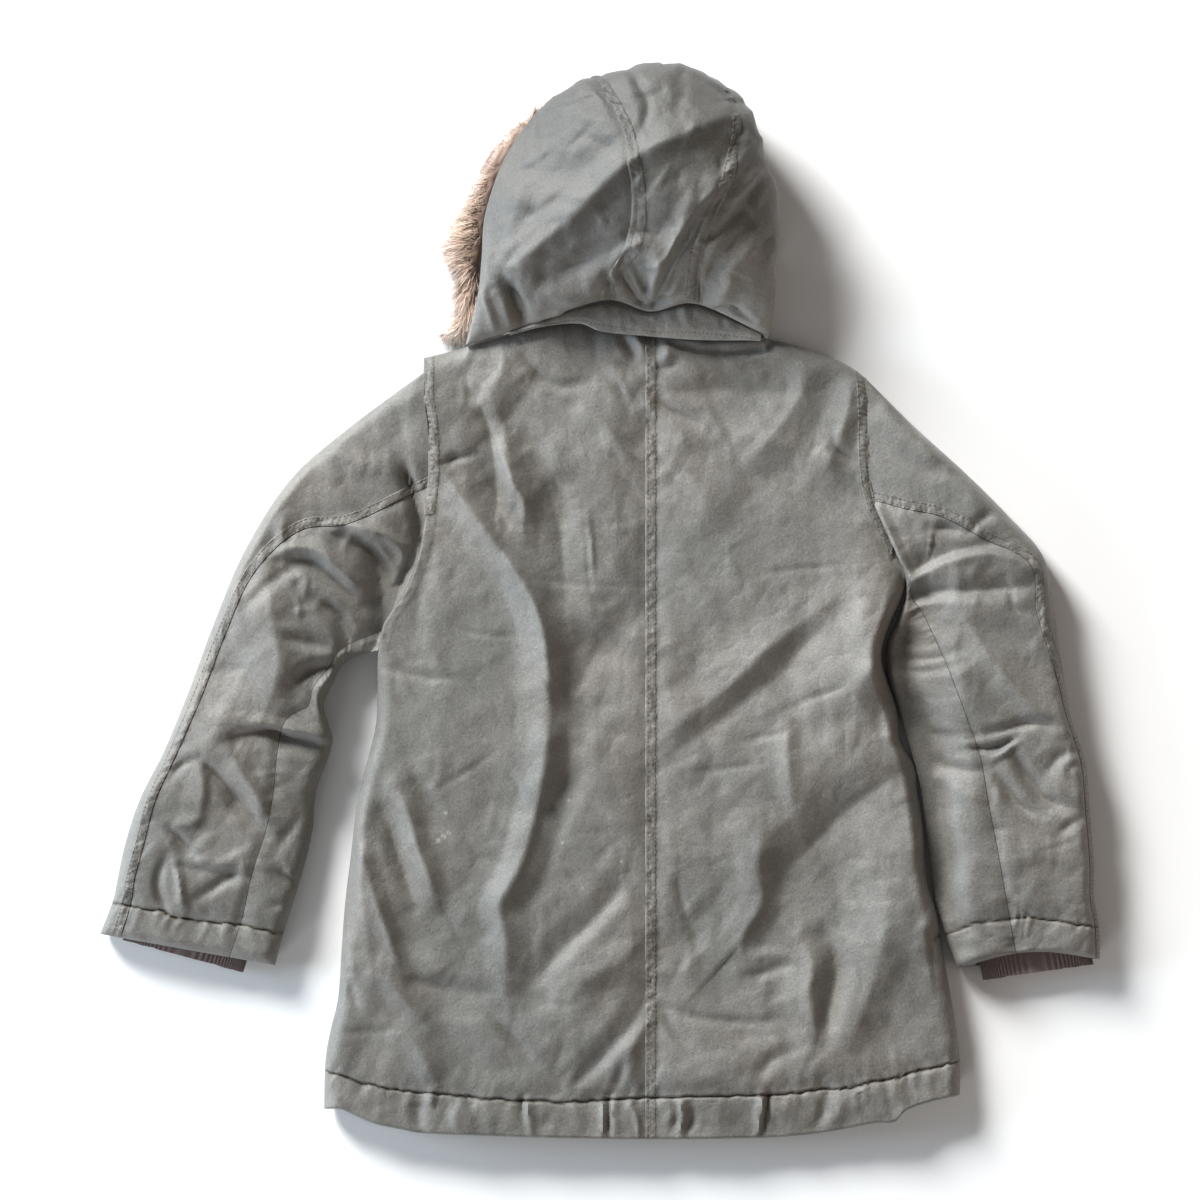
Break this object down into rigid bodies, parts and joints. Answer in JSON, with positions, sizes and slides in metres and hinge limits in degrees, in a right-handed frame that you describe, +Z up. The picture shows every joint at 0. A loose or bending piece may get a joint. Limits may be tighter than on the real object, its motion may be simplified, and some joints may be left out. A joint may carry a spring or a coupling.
{
  "type": "fur trimmed parka",
  "caption": "Child's padded hip-length parka with a deep fur trimmed hood and rib knit cuffs, laid flat with its back up, its hood filled out and its sleeves spread beside it.",
  "frame": {"origin": "middle of the coat's bounding box, on the surface it lies on", "axes": "+Z up from the surface, +Y from hem to hood along the coat's length, +X across to the wearer's right sleeve; the back faces +Z"},
  "size_m": [0.795, 0.8592, 0.0965],
  "materials": {
    "shell_cloth": "fine close weave with a low waxy sheen, khaki grey",
    "rib_knit": "one by one rib knit, matt taupe",
    "fur": "long soft pile, tan with paler tips",
    "zip": "moulded coil on woven tape"
  },
  "bodies": {
    "root": {"back_left": "shell_cloth", "back_right": "shell_cloth", "front_left": "shell_cloth", "front_right": "shell_cloth", "zip": "zip", "sleeve_left_front": "shell_cloth", "sleeve_left_back": "shell_cloth", "sleeve_left_under": "shell_cloth", "sleeve_right_front": "shell_cloth", "sleeve_right_back": "shell_cloth", "sleeve_right_under": "shell_cloth", "cuff_left": "rib_knit", "cuff_right": "rib_knit", "hood_left": "shell_cloth", "hood_centre": "shell_cloth", "hood_right": "shell_cloth", "hood_band": "shell_cloth", "fur_trim": "fur"}
  },
  "joints": []
}
